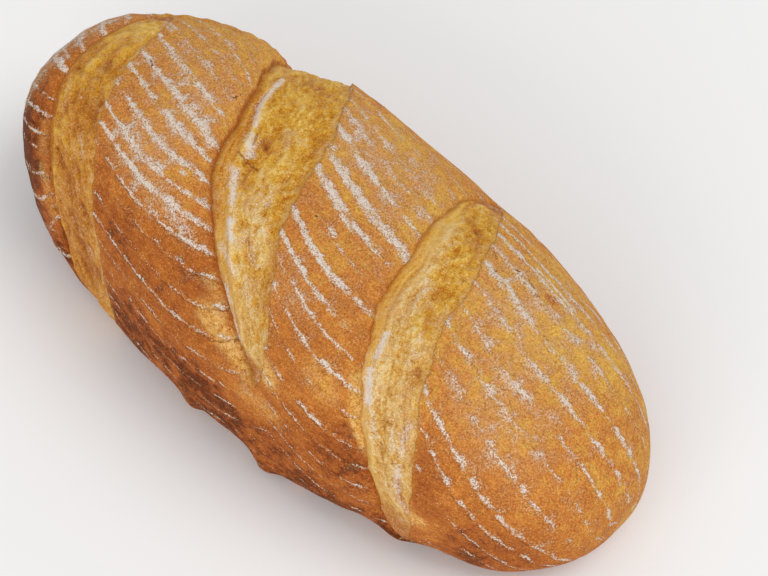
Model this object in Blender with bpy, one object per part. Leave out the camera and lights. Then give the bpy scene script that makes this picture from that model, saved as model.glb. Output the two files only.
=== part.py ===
"""A semi-white hearth loaf: one long oval bread, risen in a grooved basket, slashed three times and
baked on the oven floor. Metres, +Z up. The origin is in the middle of the flat underside, and the
loaf lies along X. Its crust is one closed skin.

The skin is a grid. Columns run along the loaf, from the foot on +Y over the crown to the foot on
-Y, and back across the underside. Rings run round the loaf and lean with the slashes, so that the
lips of each slash lie on rings of the grid. A point is known by its x and by its angle round the
loaf: 0 at the widest line on +Y, a quarter turn at the crown, a half turn at the widest line on -Y."""
import math

import bmesh
import bpy
import numpy as np
from mathutils import Vector, noise

# Driving dimensions
LENGTH = 0.330
WIDTH = 0.1454
HEIGHT = 0.099
BELLY_HEIGHT = 0.028           # height of the widest line above the oven floor
KEEL_DEPTH = 0.042             # how deep the belly would hang if the floor did not press it flat
CROWN_TAPER = -0.17            # share by which the crown is higher at +X than in the middle
HALF_GIRTH = 0.198             # length of the skin over the crown, from widest line to widest line

# Roundness along the loaf and across it: a power of 2 is an ellipse, a higher power is squarer
PLAN_POWERS = (2.11, 2.38)
CROWN_POWERS = (4.0, 2.1)
KEEL_POWERS = (4.0, 2.2)
SECTION_POWER = 2.55

# Slashes. s is the distance along the skin from the crown, positive towards +Y. middle is x at the
# crown, and lean and curl bend the slash. It gapes most where s is widest, and reaches near and far
# from there. half is half its width, depth is how deep the lobe on -X rolls under, and lift is how
# high the lobe on +X starts.
SLASHES = (
    dict(middle=-0.122, lean=0.13, near_curl=11.0, far_curl=0.8, widest=-0.062, near=0.045, far=0.095,
         half=0.0210, depth=0.0050, lift=-0.0042),
    dict(middle=-0.027, lean=0.57, near_curl=9.0, far_curl=-1.4, widest=0.006, near=0.079, far=0.090,
         half=0.0222, depth=0.0072, lift=0.0024),
    dict(middle=0.062, lean=0.44, near_curl=3.1, far_curl=1.4, widest=-0.004, near=0.110, far=0.061,
         half=0.0148, depth=0.0040, lift=0.0007),
)
LEAN_LIMIT = 0.066             # s beyond which a slash stops leaning further
LENS_POWER = 0.7               # how blunt the tips of a slash are
SHOULDER = 0.019               # distance over which a lobe rolls down into its slash
TORN_RISE = 0.9                # 1 is a straight rise of the torn crumb from lip to lip
LIFT_REACH = 0.033             # distance over which the lift of a lobe dies away
CRUST_LIP = 0.0011             # how far the crust of the lifted lip stands proud of the crumb
LIP_GAP = 0.0004               # half the distance between the two rings at a lip
LEAST_HALF = 0.0030            # half the distance between the lip rings beyond the tips
WAIST_DEPTH = 0.0012           # soft hollow that carries on round the loaf from each slash
WAIST_REACH = 0.015

# Ridges left by the grooves of the rising basket
GROOVE_PITCH = 0.0099
RIDGE_HEIGHT = 0.0006
RIDGE_SHARPNESS = 1.5
GROOVE_SLOPE = 0.17            # mean slope of the ridges towards -Y, and how it changes along X
GROOVE_SLOPE_CHANGE = 0.14
GROOVE_TURN_X = 0.072
GROOVE_TURN_REACH = 0.050
GROOVE_GATHER = 0.3            # how much the ridges draw together at the ends of the loaf
LEAST_GATHER = 0.05

# Unevenness of the dough, crags of the torn crumb, each with its height and size, and swells of the
# foot. A swell has its x, its side of the loaf (1 is +Y), how far it bulges and its length.
LUMPS = ((0.0009, 0.045), (0.0003, 0.012))
CRAGS = ((0.0009, 0.0130), (0.0006, 0.0065))
FOOT_SWELLS = (
    (-0.029, -1, -0.0026, 0.010), (-0.011, -1, 0.0034, 0.005), (0.032, -1, 0.0058, 0.007),
    (0.045, -1, 0.0020, 0.012), (0.081, -1, -0.0022, 0.010), (0.096, -1, 0.0024, 0.005),
    (0.115, -1, -0.0028, 0.009), (0.138, -1, 0.0028, 0.010), (-0.093, -1, 0.0020, 0.009),
    (-0.090, 1, 0.0026, 0.010), (-0.034, 1, -0.0020, 0.012), (0.022, 1, 0.0036, 0.006),
    (0.072, 1, -0.0020, 0.011), (0.112, 1, 0.0026, 0.007), (-0.130, 1, -0.0022, 0.009),
)
FOOT_SWELL_HEIGHT = 0.014
POLE_FADE = 10                 # the higher, the nearer to the poles the unevenness still reaches

# Grid
TOP_COLUMNS = 104
BASE_COLUMNS = 10
CAP_RINGS = (9, 12)            # from each pole to the nearest slash
LOBE_RINGS = 7
TORN_RINGS = 5
STEEPEST_FOOT = 1.3            # foot angle where the loaf curves up from the floor
SLOPE_STEP = 1e-4              # step used to measure which way the skin faces
POLE_STEP_SHARE = 0.2          # share of the way to the pole that the step may take
SETTLING_ROUNDS = 6            # rounds in which the foot's angle and x are fitted to each other
LEAST_LENGTH = 1e-9            # guards a division where a slash is closed or a normal vanishes

CRUST_COLOUR = (0.578, 0.195, 0.033, 1.0)
CRUST_ROUGHNESS = 0.55


def signed_power(value, power):
    return np.sign(value) * np.abs(value) ** power


def oval(x, powers):
    """1 in the middle of the loaf and 0 at both poles."""
    share = np.clip(np.abs(2 * x / LENGTH), 0, 1)
    return (1 - share ** powers[0]) ** (1 / powers[1])


def half_width(x):
    return WIDTH / 2 * oval(x, PLAN_POWERS)


def crown_rise(x):
    return (HEIGHT - BELLY_HEIGHT) * (1 + CROWN_TAPER * 2 * x / LENGTH) * oval(x, CROWN_POWERS)


def keel_drop(x):
    return KEEL_DEPTH * oval(x, KEEL_POWERS)


def foot_angle(x):
    """How far below the widest line the skin meets the oven floor."""
    share = BELLY_HEIGHT / np.maximum(keel_drop(x), BELLY_HEIGHT * math.sin(STEEPEST_FOOT))
    return np.arcsin(np.minimum(share ** (SECTION_POWER / 2), math.sin(STEEPEST_FOOT)))


def plain_skin(x, angle):
    """Points of the loaf before it was slashed."""
    power = 2 / SECTION_POWER
    rise = np.where(np.sin(angle) >= 0, crown_rise(x), keel_drop(x))
    y = half_width(x) * signed_power(np.cos(angle), power)
    z = BELLY_HEIGHT + rise * signed_power(np.sin(angle), power)
    return np.stack([x, y, z], axis=-1)


def skin_normals(x, angle):
    """Unit vectors that point out of the plain skin."""
    step = np.minimum(SLOPE_STEP, POLE_STEP_SHARE * (LENGTH / 2 - np.abs(x)))
    along = plain_skin(x + step, angle) - plain_skin(x - step, angle)
    around = plain_skin(x, angle + SLOPE_STEP) - plain_skin(x, angle - SLOPE_STEP)
    normals = np.cross(around, along)
    return normals / np.maximum(np.linalg.norm(normals, axis=-1, keepdims=True), LEAST_LENGTH ** 2)


def skin_distance(x, angle):
    """Distance along the skin from the crown, positive towards +Y."""
    return (0.5 - angle / math.pi) * HALF_GIRTH * oval(x, PLAN_POWERS)


def slash_lips(slash, angle):
    """Where a slash runs at each angle: x of its middle, half its width, and 1 where it gapes
    widest, falling to 0 at its tips."""
    s = skin_distance(slash["middle"], angle)
    bent = LEAN_LIMIT * np.tanh(s / LEAN_LIMIT)
    curl = np.where(s < 0, slash["near_curl"], slash["far_curl"])
    middle = slash["middle"] - slash["lean"] * bent + curl * bent ** 2
    offset = s - slash["widest"]
    reach = np.where(offset > 0, slash["far"], slash["near"])
    opening = np.clip(1 - (offset / reach) ** 2, 0, 1) ** LENS_POWER
    return middle, slash["half"] * opening, opening


def slash_relief(slash, x, angle):
    """Height of the skin over the plain loaf along one slash, and where the crumb is torn open.
    The lobe on -X rolls down to the deep lip, and the crumb rises from there to the other lip."""
    middle, half, opening = slash_lips(slash, angle)
    depth = slash["depth"] * np.sqrt(opening)
    lift = slash["lift"] * np.sqrt(opening)
    across = (x - middle + half) / np.maximum(2 * half, LEAST_LENGTH)
    roll = np.clip(1 - (middle - half - x) / SHOULDER, 0, 1)
    shoulder = -depth * (1 - np.sqrt(1 - roll ** 2))
    risen = np.clip(across, 0, 1)
    crumb = -depth * (1 - risen) ** TORN_RISE + (lift - CRUST_LIP * np.sqrt(opening)) * risen
    beyond = np.maximum(x - middle - half, 0) / LIFT_REACH
    torn = (across > 0) & (across < 1) & (opening > 0)
    relief = np.where(across <= 0, shoulder, np.where(torn, crumb, lift * np.exp(-beyond ** 2)))
    waist = np.exp(-((x - middle) / WAIST_REACH) ** 2) * (1 - opening)
    return relief - WAIST_DEPTH * waist, torn


def groove_ridges(x, angle):
    """Ridges that run along the loaf and slant towards -Y: 1 on a ridge, 0 between two."""
    slant = GROOVE_SLOPE * x - GROOVE_SLOPE_CHANGE * GROOVE_TURN_REACH * np.log(
        np.cosh((x - GROOVE_TURN_X) / GROOVE_TURN_REACH))
    gather = np.maximum(oval(x, PLAN_POWERS), LEAST_GATHER) ** GROOVE_GATHER
    phase = (skin_distance(x, angle) / gather + slant) / GROOVE_PITCH
    return (0.5 + 0.5 * np.cos(2 * math.pi * phase)) ** RIDGE_SHARPNESS


def unevenness(points, swells):
    """Smooth random height, of swells that each have a height and a size."""
    height = np.zeros(points.shape[:-1])
    for place in np.ndindex(height.shape):
        spot = Vector(points[place])
        height[place] = sum(swell * noise.noise(spot / size) for swell, size in swells)
    return height


def foot_spread(points):
    """How far the dough spreads sideways along its foot."""
    x, y, z = points[..., 0], points[..., 1], points[..., 2]
    spread = np.zeros(x.shape)
    for swell_x, side, swell, size in FOOT_SWELLS:
        shape = np.exp(-((x - swell_x) / size) ** 2 - (z / FOOT_SWELL_HEIGHT) ** 2)
        spread += swell * shape * (np.sign(y) == side)
    return spread


def baked_skin(x, angle):
    """Points of the finished skin above the underside."""
    plain = plain_skin(x, angle)
    over_foot = np.clip(plain[..., 2] / BELLY_HEIGHT, 0, 1)
    over_floor = np.clip(plain[..., 2] / HEIGHT, 0, 1)
    height = unevenness(plain, LUMPS)
    crust = np.ones(x.shape)
    for slash in SLASHES:
        relief, torn = slash_relief(slash, x, angle)
        height += relief * over_foot
        crust[torn] = 0
    height += RIDGE_HEIGHT * groove_ridges(x, angle) * crust * over_floor
    height += unevenness(plain, CRAGS) * (1 - crust) * over_foot
    height *= 1 - np.abs(2 * x / LENGTH) ** POLE_FADE
    points = plain + skin_normals(x, angle) * height[..., None]
    points[..., 1] += np.sign(plain[..., 1]) * foot_spread(plain)
    points[..., 2] = np.maximum(points[..., 2], 0)
    return points


def ring_stations(angle):
    """x of the lines between which the rings are laid, at each angle, from pole to pole."""
    stations = [np.full_like(angle, -LENGTH / 2)]
    for slash in SLASHES:
        middle, half, _ = slash_lips(slash, angle)
        half = np.maximum(half, LEAST_HALF)
        for lip in (middle - half, middle + half):
            stations += [lip - LIP_GAP, lip + LIP_GAP]
    stations.append(np.full_like(angle, LENGTH / 2))
    return stations


def ring_places():
    """For each ring between the poles, the stretch that it is in and its share of that stretch.
    Rings draw together towards the poles, and where a lobe rolls down into a slash."""
    first, last = CAP_RINGS
    places = [(0, (1 - math.cos(math.pi * k / first)) / 2) for k in range(1, first)]
    for number in range(len(SLASHES)):
        deep_lip = 4 * number + 1
        places += [(deep_lip, 0.0)]
        places += [(deep_lip + 1, k / TORN_RINGS) for k in range(TORN_RINGS)]
        places += [(deep_lip + 2, 0.0)]
        if number < len(SLASHES) - 1:
            shares = [k / LOBE_RINGS for k in range(LOBE_RINGS)]
            places += [(deep_lip + 3, (k + math.sin(math.pi / 2 * k)) / 2) for k in shares]
    places += [(4 * len(SLASHES), math.sin(math.pi / 2 * k / last)) for k in range(last)]
    return places


def grid_of_angles():
    """x and angle of every point above the underside. The foot's angle depends on x, and x on the
    angle, so the two are settled in a few rounds."""
    places = ring_places()
    shares = np.linspace(0, 1, TOP_COLUMNS)
    x = np.zeros((len(places), TOP_COLUMNS))
    for _ in range(SETTLING_ROUNDS):
        foot = foot_angle(x)
        angle = -foot + (math.pi + 2 * foot) * shares
        for ring, (stretch, share) in enumerate(places):
            stations = ring_stations(angle[ring])
            start, end = stations[stretch], stations[stretch + 1]
            x[ring] = start + (end - start) * share
    return x, angle


def loaf_grid():
    """Every point of the loaf but its two poles: one row for each ring."""
    x, angle = grid_of_angles()
    top = baked_skin(x, angle)
    on_floor = keel_drop(x) > BELLY_HEIGHT
    top[:, 0, 2] = np.where(on_floor[:, 0], 0, top[:, 0, 2])
    top[:, -1, 2] = np.where(on_floor[:, -1], 0, top[:, -1, 2])
    shares = np.arange(1, BASE_COLUMNS) / BASE_COLUMNS
    base = top[:, -1:] + (top[:, :1] - top[:, -1:]) * shares[None, :, None]
    return np.concatenate([top, base], axis=1)


def crust_material():
    material = bpy.data.materials.new("crust")
    material.use_nodes = True
    shader = material.node_tree.nodes["Principled BSDF"]
    shader.inputs["Base Color"].default_value = CRUST_COLOUR
    shader.inputs["Roughness"].default_value = CRUST_ROUGHNESS
    shader.inputs["Metallic"].default_value = 0.0
    return material


def build_loaf():
    grid = loaf_grid()
    mesh = bpy.data.meshes.new("loaf")
    skin = bmesh.new()
    rows = [[skin.verts.new(point) for point in row] for row in grid]
    poles = [skin.verts.new((side * LENGTH / 2, 0, BELLY_HEIGHT)) for side in (-1, 1)]
    columns = len(rows[0])
    for column in range(columns):
        follower = (column + 1) % columns
        for row, neighbour in zip(rows, rows[1:]):
            skin.faces.new((row[column], row[follower], neighbour[follower], neighbour[column]))
        skin.faces.new((poles[0], rows[0][follower], rows[0][column]))
        skin.faces.new((poles[1], rows[-1][column], rows[-1][follower]))
    bmesh.ops.triangulate(skin, faces=skin.faces)
    bmesh.ops.recalc_face_normals(skin, faces=skin.faces)
    skin.to_mesh(mesh)
    skin.free()
    mesh.shade_smooth()
    mesh.materials.append(crust_material())
    loaf = bpy.data.objects.new("loaf", mesh)
    bpy.context.scene.collection.objects.link(loaf)
    return loaf


for existing in list(bpy.data.objects):
    bpy.data.objects.remove(existing)
build_loaf()
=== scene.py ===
"""Looks of a semi-white hearth loaf: a browned crust with floury basket ridges, three slashes torn
open down to pale baked dough, and loose flour. Metres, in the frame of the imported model."""
import math

import bpy
import numpy as np
from mathutils import Matrix, Vector, noise


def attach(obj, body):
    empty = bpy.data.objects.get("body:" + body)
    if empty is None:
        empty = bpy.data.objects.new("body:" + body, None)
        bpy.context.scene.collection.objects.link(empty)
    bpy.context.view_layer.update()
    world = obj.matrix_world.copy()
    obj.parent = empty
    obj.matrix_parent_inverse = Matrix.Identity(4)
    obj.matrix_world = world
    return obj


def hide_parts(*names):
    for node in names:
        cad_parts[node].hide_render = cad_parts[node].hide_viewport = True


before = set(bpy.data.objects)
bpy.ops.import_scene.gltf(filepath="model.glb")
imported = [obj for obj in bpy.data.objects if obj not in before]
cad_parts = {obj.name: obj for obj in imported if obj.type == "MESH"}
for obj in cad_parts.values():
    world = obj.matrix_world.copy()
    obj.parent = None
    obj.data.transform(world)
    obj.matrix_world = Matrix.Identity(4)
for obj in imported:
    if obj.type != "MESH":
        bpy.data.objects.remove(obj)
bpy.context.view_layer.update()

# ---------------------------------------------------------------------------------------------
# Crust. The whole skin of the loaf: dough that rose in a grooved basket, was tipped out, slashed
# and baked on the oven floor, so it is a thin, dry, browned shell that the ridges and flour of the
# basket still mark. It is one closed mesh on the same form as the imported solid, with finer relief.

MILLIMETRE = 0.001
LENGTH = 0.330
WIDTH = 0.1454
HEIGHT = 0.099
BELLY_HEIGHT = 0.028  # height of the widest line above the oven floor
KEEL_DEPTH = 0.042  # depth below the widest line to which the sides would round
CROWN_TAPER = -0.17
HALF_GIRTH = 0.198
PLAN_POWERS = (2.11, 2.38)
CROWN_POWERS = (4.0, 2.1)
KEEL_POWERS = (4.0, 2.2)
SECTION_POWER = 2.55

# Each slash: x of its middle on the crown, how it leans and how it curls on -Y and on +Y, the
# distance from the crown at which it gapes widest and how far it runs on from there to -Y and +Y,
# half its width, how deep its rolled lip dips, how far its crisp lip lifts, how toasted the rolled
# lip is, and how far the torn dough ends below the crisp lip
SLASHES = (
    dict(middle=-0.122, lean=0.13, near_curl=11.0, far_curl=0.8, widest=-0.062, near=0.045, far=0.095,
         half=0.0210, depth=0.0050, lift=-0.0042, toasted=0.12, lip=0.0003),
    dict(middle=-0.027, lean=0.57, near_curl=9.0, far_curl=-1.4, widest=0.006, near=0.079, far=0.090,
         half=0.0222, depth=0.0072, lift=0.0024, toasted=0.9, lip=0.0009),
    dict(middle=0.062, lean=0.44, near_curl=3.1, far_curl=1.4, widest=-0.004, near=0.110, far=0.061,
         half=0.0148, depth=0.0040, lift=0.0007, toasted=0.45, lip=0.0002),
)
LEAN_LIMIT = 0.066  # distance from the crown at which a slash stops leaning
LENS_POWER = 0.7  # how bluntly a slash closes at its ends
SHOULDER = 0.019  # width over which a lobe rolls down to its slash
TORN_RISE = 0.9
LIFT_REACH = 0.033
LIP_GAP = 0.00012  # half the distance between the two rings of the mesh at a lip
LEAST_HALF = 0.0030
WAIST_DEPTH = 0.0012  # how far the loaf draws in past the ends of a slash
WAIST_REACH = 0.015
TORN_SINK = 0.0022  # how far the shell dips under the torn dough that fills a slash
LIP_WAVES = ((0.0006, 0.023), (0.00024, 0.0093), (0.00012, 0.0043))  # swing and length
SLASH_SEED = 40

NOISE_DRIFT = (1, 0.37, -0.61)  # direction in which a seed shifts the noise
LUMPS = ((0.0009, 0.045), (0.0003, 0.012), (0.00022, 0.0045))  # height and size
# Swells of the foot: x, side, how far it spreads and its reach, in millimetres
FOOT_SWELLS = (
    (-29, -1, -2.6, 10), (-11, -1, 3.4, 5), (32, -1, 5.8, 7), (45, -1, 2, 12), (81, -1, -2.2, 10),
    (96, -1, 2.4, 5), (115, -1, -2.8, 9), (138, -1, 2.8, 10), (-93, -1, 2, 9), (-90, 1, 2.6, 10),
    (-34, 1, -2, 12), (22, 1, 3.6, 6), (72, 1, -2, 11), (112, 1, 2.6, 7), (-130, 1, -2.2, 9),
)
FOOT_SWELL_HEIGHT = 0.014
POLE_FADE = 10

TOP_COLUMNS = 380  # points of a ring from foot to foot
BASE_COLUMNS = 14  # steps of a ring across the underside
CAP_RINGS = (34, 90)  # rings on the first and the last lobe
LOBE_RINGS = (60, 46)  # rings on the lobes between
TORN_RINGS = 3
SLASH_STATIONS = 4  # lines that a slash lays through the mesh, two at each lip
STEEPEST_FOOT = 1.3
SLOPE_STEP = 1e-4
POLE_STEP_SHARE = 0.2
SETTLING_ROUNDS = 5  # rounds in which the foot's angle and x are fitted to each other
ARC_STEPS = 28  # straight pieces in which a distance along the skin is measured
LEAST_LENGTH = 1e-9  # guards a division where a slash is closed or a normal vanishes
QUARTER = math.pi / 2

# The basket left one ridge for each of its grooves. On each lobe between two slashes a ridge starts
# at the lobe's -X edge, at its own distance from the crown, falls towards -Y and levels out. A
# ridge is that distance in millimetres and how floury it is at the start, middle and end of the
# lobe. The gains say how much more a ridge falls and rises for each metre further to +Y that it
# starts.
GROOVE_PITCH = 0.0099
RIDGE_HEIGHT = 0.0006
RIDGE_SHARPNESS = 1.5
LOBES = (
    dict(fall=0.0240, fall_gain=0.17, rise=0.0040, rise_gain=-0.02, ridges=(
        (63, 0.6, 0.7, 0.8), (48.6, 0.7, 0.8, 0.8), (32.4, 0.8, 0.8, 0.7), (18.4, 0.8, 0.75, 0.6),
        (0, 0.8, 0.80, 0.8), (-10, 0.3, 0.3, 0.2), (-18.3, 0.7, 0.6, 0.45), (-29, 0.6, 0.55, 0.5),
        (-40, 0.5, 0.5, 0.45), (-48.8, 0.35, 0.35, 0.3), (-66.3, 0.3, 0.35, 0.3),
        (-85.9, 0.3, 0.35, 0.35), (-105, 0.3, 0.35, 0.3), (-118.5, 0.3, 0.35, 0.3))),
    dict(fall=0.0277, fall_gain=-0.095, rise=0.0130, rise_gain=-0.304, ridges=(
        (46.7, 0.1, 0.5, 0.4), (36.4, 0.45, 0.5, 0.2), (27.6, 0.5, 0.35, 0.25), (17.8, 0.7, 0.9, 0.4),
        (5.4, 0.75, 0.8, 0.9), (-3.9, 0.7, 0.8, 0.8), (-14.7, 0.5, 0.75, 0.8),
        (-25.2, 0.65, 0.75, 0.8), (-32.8, 0.75, 0.85, 0.9), (-42.4, 0.35, 0.5, 0.6),
        (-50.7, 0.3, 0.4, 0.55), (-61.5, 0.25, 0.4, 0.4), (-71.8, 0.35, 0.4, 0.5),
        (-82.1, 0.2, 0.35, 0.35), (-92, 0.2, 0.3, 0.2))),
    dict(fall=0.0265, fall_gain=-0.097, rise=0.0134, rise_gain=-0.151, ridges=(
        (57.5, 0.45, 0.45, 0.35), (46.3, 0.45, 0.4, 0.35), (39, 0.6, 0.55, 0.4), (29.4, 0.9, 0.7, 0.45),
        (17.4, 0.95, 1.0, 1.0), (8.2, 0.9, 1.0, 0.35), (-3.4, 0.0, 0.4, 0.15), (-12.9, 0.85, 0.95, 0.8),
        (-23.5, 0.85, 0.85, 0.35), (-31.5, 0.4, 0.55, 0.55), (-41.1, 0.4, 0.5, 0.5),
        (-50.8, 0.35, 0.4, 0.3), (-62.7, 0.4, 0.45, 0.3), (-71.8, 0.35, 0.35, 0.2),
        (-82, 0.2, 0.2, 0.1))),
    dict(fall=0.0318, fall_gain=-0.498, rise=0.0240, rise_gain=-0.410, ridges=(
        (52.9, 0.6, 0.45, 0.35), (46.5, 0.65, 0.6, 0.5), (39.5, 0.75, 0.7, 0.5), (31, 0.55, 0.45, 0.35),
        (21, 0.1, 0.62, 0.58), (11.6, 0.4, 0.6, 0.62), (1.4, 0.3, 0.5, 0.52), (-8, 0.68, 0.42, 0.3),
        (-19.8, 0.3, 0.42, 0.28), (-34.2, 0.58, 0.62, 0.52), (-44.4, 0.45, 0.5, 0.42),
        (-56.4, 0.2, 0.38, 0.3), (-67, 0.05, 0.15, 0.15), (-78, 0.0, 0.1, 0.1))),
)
UNSEEN_RIDGES = 16  # ridges that carry on round the loaf past the listed ones
UNSEEN_FLOUR = 0.22
RIDGE_WANDER = (0.0012, 0.030)  # swing and length
WANDER_SEED = 3.0

# Blots of thick flour, and of crust that browned more than the rest, or less. In millimetres, the
# x, the distance from the crown and the reach both ways, and then the amount.
DUSTED = (
    (-150, 18, 13, 30, 0.66), (-152, -30, 10, 20, 0.60), (-85, 14, 32, 36, 0.19),
    (-62, -14, 18, 20, 0.23), (-48, -46, 22, 8, 0.34), (-70, -34, 20, 10, 0.32),
    (5, 34, 36, 22, 0.28), (25, 0, 30, 30, 0.10), (100, 26, 34, 22, 0.20),
    (118, -26, 30, 20, 0.26), (100, 0, 30, 20, 0.10), (22, -42, 22, 14, 0.20),
)
BAKED = (
    (-150, -8, 22, 50, 0.40), (-148, -64, 20, 25, 0.70), (-142, -94, 18, 30, 0.85),
    (105, 10, 48, 45, -0.08), (-2, -107, 36, 9, 0.26), (66, -92, 18, 14, 0.16),
    (98, -78, 16, 10, 0.06), (25, -88, 22, 10, -0.16), (50, -62, 18, 12, -0.18),
    (-70, -60, 30, 20, 0.08), (112, -94, 16, 12, -0.14), (128, -94, 12, 14, 0.20),
    (152, 0, 12, 50, 0.10), (98, 32.5, 3.5, 2.2, 0.55), (20, 0, 18, 12, 0.06),
)
# Strokes of thick flour. In millimetres, the x and the distance from the crown of both ends and
# half the width, and then the amount.
FLOUR_STROKES = (
    (-55, -9.2, -48.5, -12, 3.4, 1.0), (-58, -40, -50, -44, 4, 0.5), (-48, -43, -30, -47.5, 5, 0.7),
    (-92, 10, -73.5, 5.2, 1.9, 0.9), (-64, 14, -58, 12, 3.8, 0.5), (-52.5, -16.5, -51, -17.2, 1.7, 0.9),
    (-47, -30.2, -45.5, -30.2, 1.7, 1.0), (-117, 25.5, -108, 23, 1.7, 0.8), (-100, 1, -93, 0.3, 1.4, 0.9),
    (-62, -18, -56, -19.5, 2.5, 0.6), (18, -10.3, 21, -11.2, 1.8, 1.0), (24, -13.5, 28.5, -14.6, 1.1, 0.9),
    (6, -9, 13.5, -9.7, 0.9, 0.7), (40, -0.5, 46, -1.5, 0.6, 0.5), (81.5, 12, 83.5, 11.7, 1.1, 0.8),
    (91.5, 8, 94, 7.6, 1.2, 0.8), (117.5, -6.8, 119, -7.2, 1.1, 0.9), (101.5, -23.8, 103.5, -24.3, 1.1, 0.8),
    (126, 13.2, 137, 12, 1.1, 0.7), (71.5, 23, 76.3, 20.8, 2.2, 1.2), (76.3, 20.8, 80.5, 21.5, 2.1, 1.2),
    (80.5, 21.5, 83, 25.5, 1.6, 1.1), (83, 25.5, 82.5, 32, 1.5, 1.0), (83.5, 21.2, 87.8, 19.7, 1.8, 1.1),
    (87.8, 19.7, 93.5, 17, 1.6, 1.1), (95.5, 16.8, 101, 16.5, 1.3, 1.0), (86.5, 29.5, 92.8, 28, 1.6, 1.0),
    (74.5, 39, 76.5, 38.5, 1.8, 1.0), (84, 40.2, 106.5, 38, 1.5, 1.1), (66, 39, 70, 33, 2.2, 0.5),
    (70, 30, 79, 31, 2.4, 0.4), (-145.2, -8.8, -136.7, -13.8, 1, 0.9), (-133.2, -50.8, -125, -52.8, 0.9, 1.0),
    (-125.2, -74.3, -116, -71.8, 0.8, 1.0), (-124, -88, -116.2, -87.3, 1.2, 1.0),
    (-116.2, -87.3, -111, -82.5, 1.2, 1.0), (-112.2, -106, -107, -95.3, 0.9, 1.0),
    (-111.5, -117.3, -100, -119, 0.9, 0.9),
)
# Strokes of crust that stretched beside a slash and stayed pale
STRETCHED = (
    (-3, -69, 24, -79, 6, 0.80), (18, -65.5, 34.5, -72.5, 5, 1.0), (-8, -56, 5, -69, 5, 0.45),
    (65.5, -48, 74.5, -64, 3, 1.0), (74.5, -64, 88, -77, 3, 0.9), (92, -80, 99.8, -87.8, 4.5, 1.0),
    (99.8, -87.8, 109.3, -84.5, 4, 0.9), (100, -70, 106, -80, 3, 0.4), (87, -30, 101, -60, 3, 0.35),
    (-125.5, -47, -116, -71.8, 2.6, 0.35), (-116, -71.8, -109, -95, 2.8, 0.40), (48, -56, 60, -60, 6, 0.45),
    (25, -90, 40, -90, 6, 0.40), (-92, -70, -76, -96, 4, 0.50),
)
# Strokes where the foot tore open
# The tears are sunk into the crust and painted dark through the browning, as painted shade in them
TEARS = ((92.5, -115, 100.5, -117.5, 1.5, 1.0), (103, -116.5, 105, -117.2, 0.8, 0.6))
TEAR_DEPTH = 0.0016
# How brown the crust is at each distance from the crown: golden on top, toasted down the sides
# At the -Y foot it is darker still: partly browning, partly painted shade of the undercut
BROWNING_AND_FOOT_SHADE = (
    (-122, 0.92), (-106, 0.75), (-92, 0.66), (-68, 0.70), (-55, 0.61), (-42, 0.49),
    (-20, 0.37), (10, 0.27), (40, 0.20), (65, 0.25), (90, 0.50), (115, 0.68),
)
UNDERSIDE_BROWNING = 0.7
UNDERSIDE_FLOUR = 0.1
ROLLED_RIM = 0.0009  # how far the toasted rim of a lobe reaches back from the torn dough
CRISP_RIM = 0.0020
CAKE_HEIGHT = 0.0005  # how high the thickest flour stands on the crust
FLOOR_CLEAR = 0.05  # no loose flour lies below this share of the belly's height
LOOSE_REACH = 0.12  # loose flour lies no further below a crest than this share of a ridge
LOOSE_DUST = 0.25  # how much of a blot's flour is loose


def signed_power(value, power):
    return np.sign(value) * np.abs(value) ** power


def oval(x, powers):
    """1 in the middle of the loaf and 0 at both poles."""
    share = np.clip(np.abs(2 * x / LENGTH), 0, 1)
    return (1 - share ** powers[0]) ** (1 / powers[1])


def crown_rise(x):
    return (HEIGHT - BELLY_HEIGHT) * (1 + CROWN_TAPER * 2 * x / LENGTH) * oval(x, CROWN_POWERS)


def keel_drop(x):
    return KEEL_DEPTH * oval(x, KEEL_POWERS)


def foot_angle(x):
    """How far below the widest line the skin meets the oven floor."""
    share = BELLY_HEIGHT / np.maximum(keel_drop(x), BELLY_HEIGHT * math.sin(STEEPEST_FOOT))
    return np.arcsin(np.minimum(share ** (SECTION_POWER / 2), math.sin(STEEPEST_FOOT)))


def plain_skin(x, angle):
    """Points of the loaf before it was slashed. The angle runs from 0 at the widest line on +Y
    over a quarter turn at the crown."""
    power = 2 / SECTION_POWER
    rise = np.where(np.sin(angle) >= 0, crown_rise(x), keel_drop(x))
    y = WIDTH / 2 * oval(x, PLAN_POWERS) * signed_power(np.cos(angle), power)
    z = BELLY_HEIGHT + rise * signed_power(np.sin(angle), power)
    return np.stack([x + 0 * y, y, z], axis=-1)


def skin_normals(x, angle):
    """Unit vectors that point out of the plain skin."""
    step = np.minimum(SLOPE_STEP, POLE_STEP_SHARE * (LENGTH / 2 - np.abs(x)))
    along = plain_skin(x + step, angle) - plain_skin(x - step, angle)
    around = plain_skin(x, angle + SLOPE_STEP) - plain_skin(x, angle - SLOPE_STEP)
    normals = np.cross(around, along)
    return normals / np.maximum(np.linalg.norm(normals, axis=-1, keepdims=True), LEAST_LENGTH ** 2)


def stray(s, seed):
    """How far a torn edge strays along its length."""
    total = 0
    for order, (swing, length) in enumerate(LIP_WAVES):
        start = seed * (3 + 7 * order)
        total = total + swing * np.sin(2 * math.pi * s / length + start + np.sin(s / length + seed))
    return total


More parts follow.
